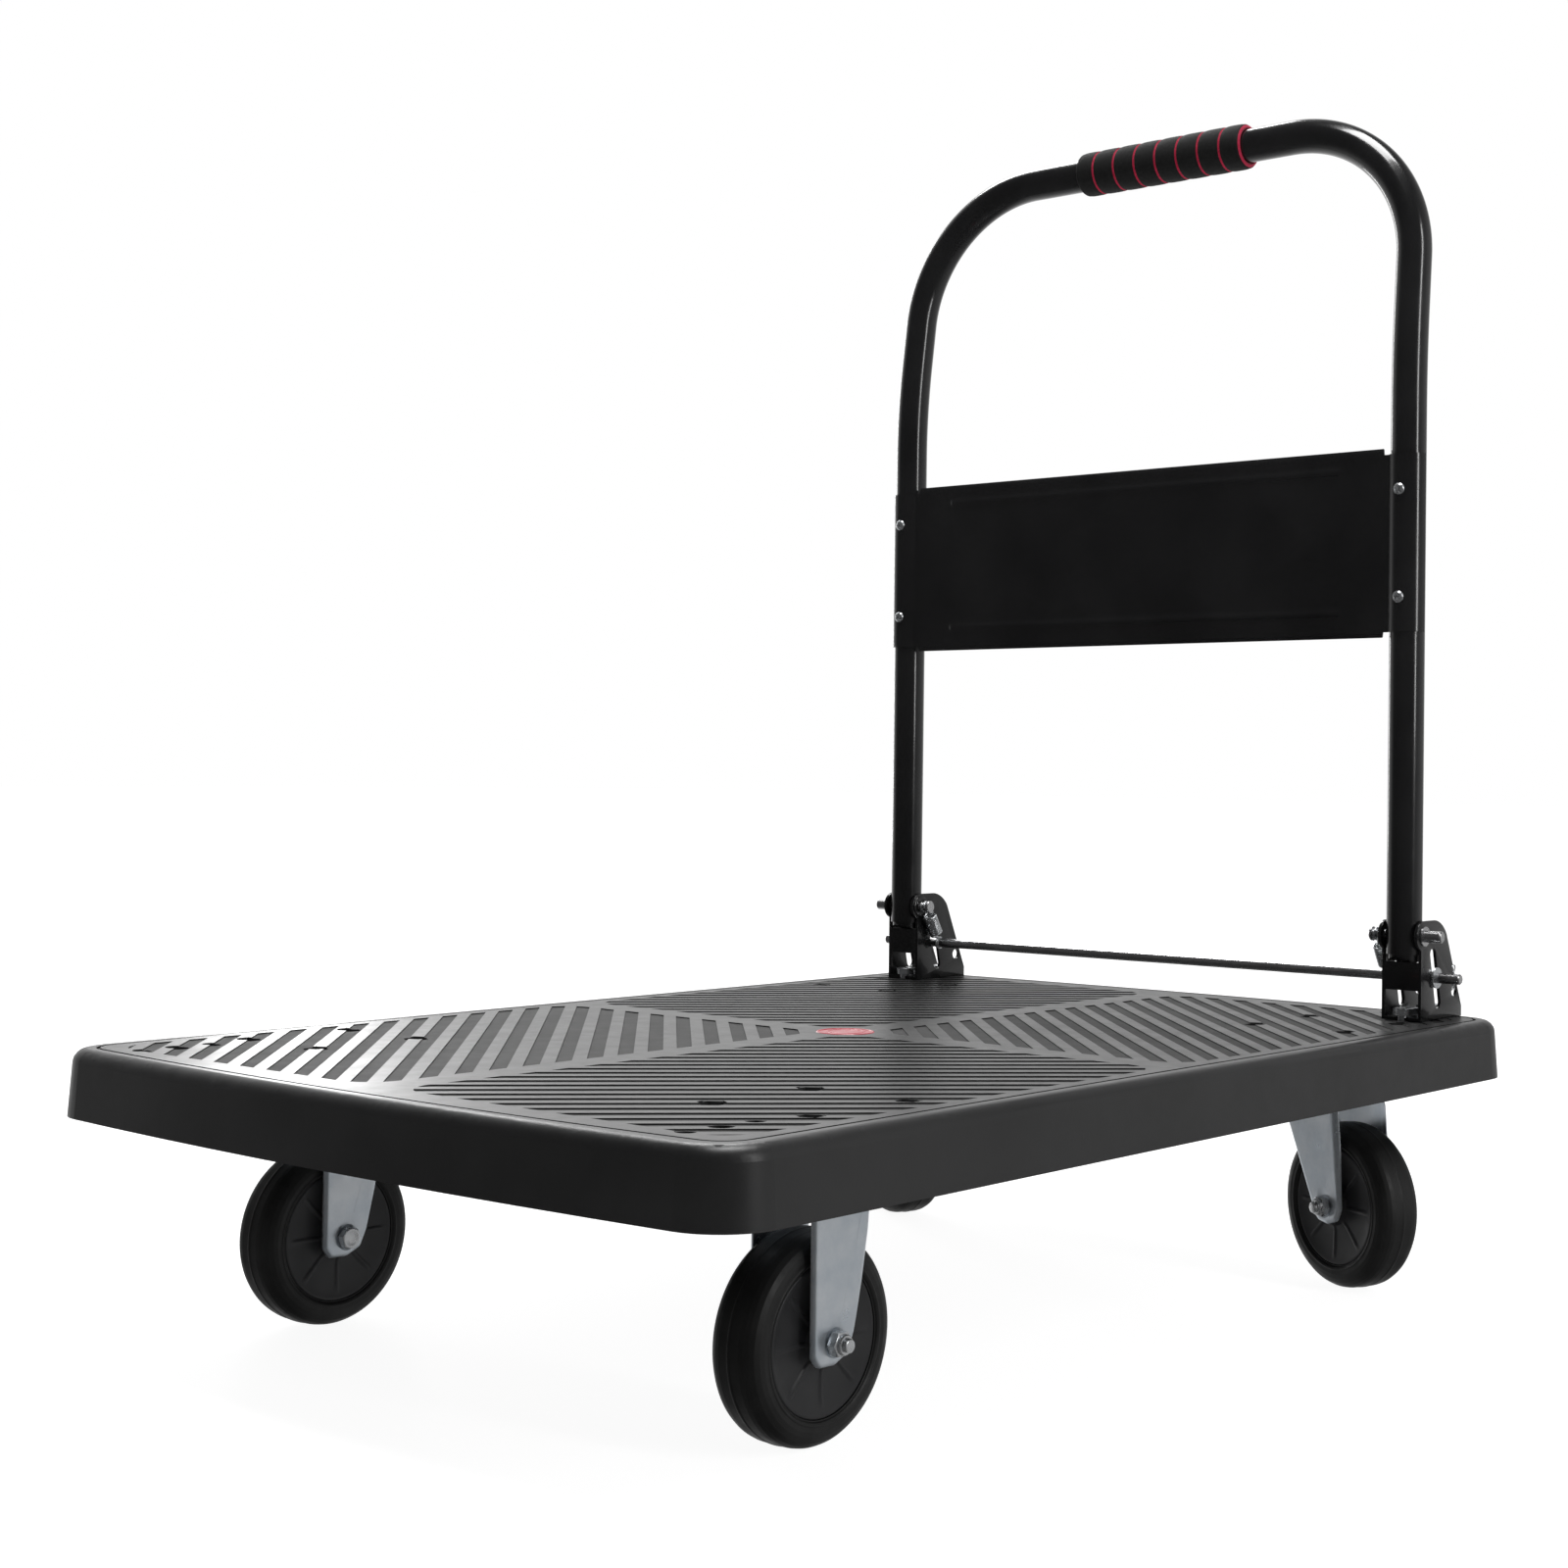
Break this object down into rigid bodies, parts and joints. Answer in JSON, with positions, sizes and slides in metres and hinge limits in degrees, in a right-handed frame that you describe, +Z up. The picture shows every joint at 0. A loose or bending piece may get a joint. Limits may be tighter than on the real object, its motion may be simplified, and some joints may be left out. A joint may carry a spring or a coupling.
{
  "type": "folding platform cart",
  "caption": "Flat moulded platform on rigid front and swivelling rear casters, with a U-shaped push handle that folds down over the deck and a sprung cross bar that locks it upright.",
  "frame": {"origin": "on the floor under the middle of the deck", "axes": "+X along the deck towards the handle end, +Y to the left when looking towards the handle, +Z up out of the deck"},
  "size_m": [0.9, 0.604, 0.9069],
  "materials": {
    "deck_plastic": "fine moulded texture",
    "badge_red": "gloss",
    "black_paint": "gloss powder coat",
    "zinc": "bright zinc plate",
    "steel": "bright steel",
    "foam": "matt foam",
    "hub_plastic": "moulded",
    "tyre_rubber": "matt rubber"
  },
  "bodies": {
    "deck": {"deck": "deck_plastic", "badge": "badge_red", "bracket_left": "black_paint", "bracket_right": "black_paint", "bracket_bolts": "zinc", "bracket_nuts": "zinc", "bracket_washers": "zinc", "caster_bolts": "zinc", "caster_nuts": "zinc", "pivot_pin_left": "steel", "pivot_pin_right": "steel", "pin_clips": "steel", "front_fork_left": "zinc", "front_fork_right": "zinc", "front_axle_bolts": "zinc", "front_axle_nuts": "zinc", "front_axle_sleeves": "zinc", "swivel_plate_left": "zinc", "swivel_plate_right": "zinc", "kingpin_left": "zinc", "kingpin_right": "zinc", "spring_left": "steel", "spring_right": "steel"},
    "handle": {"handle_tube": "black_paint", "heel_left": "steel", "heel_right": "steel", "panel": "black_paint", "panel_screws": "steel", "grip": "foam"},
    "lock_bar": {"lock_bar": "steel", "bar_cotters": "steel", "bar_washers": "steel"},
    "swivel_left": {"swivel_fork_left": "zinc", "ball_ring_left": "zinc", "rear_axle_bolt_left": "zinc", "rear_axle_nut_left": "zinc", "rear_axle_sleeve_left": "zinc"},
    "swivel_right": {"swivel_fork_right": "zinc", "ball_ring_right": "zinc", "rear_axle_bolt_right": "zinc", "rear_axle_nut_right": "zinc", "rear_axle_sleeve_right": "zinc"},
    "wheel_front_left": {"hub_front_left": "hub_plastic", "tyre_front_left": "tyre_rubber"},
    "wheel_front_right": {"hub_front_right": "hub_plastic", "tyre_front_right": "tyre_rubber"},
    "wheel_rear_left": {"hub_rear_left": "hub_plastic", "tyre_rear_left": "tyre_rubber"},
    "wheel_rear_right": {"hub_rear_right": "hub_plastic", "tyre_rear_right": "tyre_rubber"}
  },
  "joints": [
    {"name": "handle_fold", "type": "hinge", "parent": "deck", "child": "handle", "pos_m": [0.367, 0, 0.2545], "axis": [0, -1, 0], "range_deg": [0, 95]},
    {"name": "lock_bar_press", "type": "slide", "parent": "deck", "child": "lock_bar", "axis": [0.2235, 0, -0.9747], "range_m": [0, 0.018], "stiffness_N_per_m": 1200, "springref_m": -0.01, "deforming": ["spring_left", "spring_right"]},
    {"name": "swivel_turn_left", "type": "hinge", "parent": "deck", "child": "swivel_left", "pos_m": [0.303, 0.215, 0.0602], "axis": [0, 0, 1], "continuous": true},
    {"name": "swivel_turn_right", "type": "hinge", "parent": "deck", "child": "swivel_right", "pos_m": [0.303, -0.215, 0.0602], "axis": [0, 0, 1], "continuous": true},
    {"name": "wheel_spin_front_left", "type": "hinge", "parent": "deck", "child": "wheel_front_left", "pos_m": [-0.2838, 0.215, 0.0602], "axis": [0, 1, 0], "continuous": true},
    {"name": "wheel_spin_front_right", "type": "hinge", "parent": "deck", "child": "wheel_front_right", "pos_m": [-0.2838, -0.215, 0.0602], "axis": [0, 1, 0], "continuous": true},
    {"name": "wheel_spin_rear_left", "type": "hinge", "parent": "swivel_left", "child": "wheel_rear_left", "pos_m": [0.29147, 0.1873, 0.0602], "axis": [-0.9232, 0.3843, 0], "continuous": true},
    {"name": "wheel_spin_rear_right", "type": "hinge", "parent": "swivel_right", "child": "wheel_rear_right", "pos_m": [0.29147, -0.2427, 0.0602], "axis": [-0.9232, 0.3843, 0], "continuous": true}
  ]
}
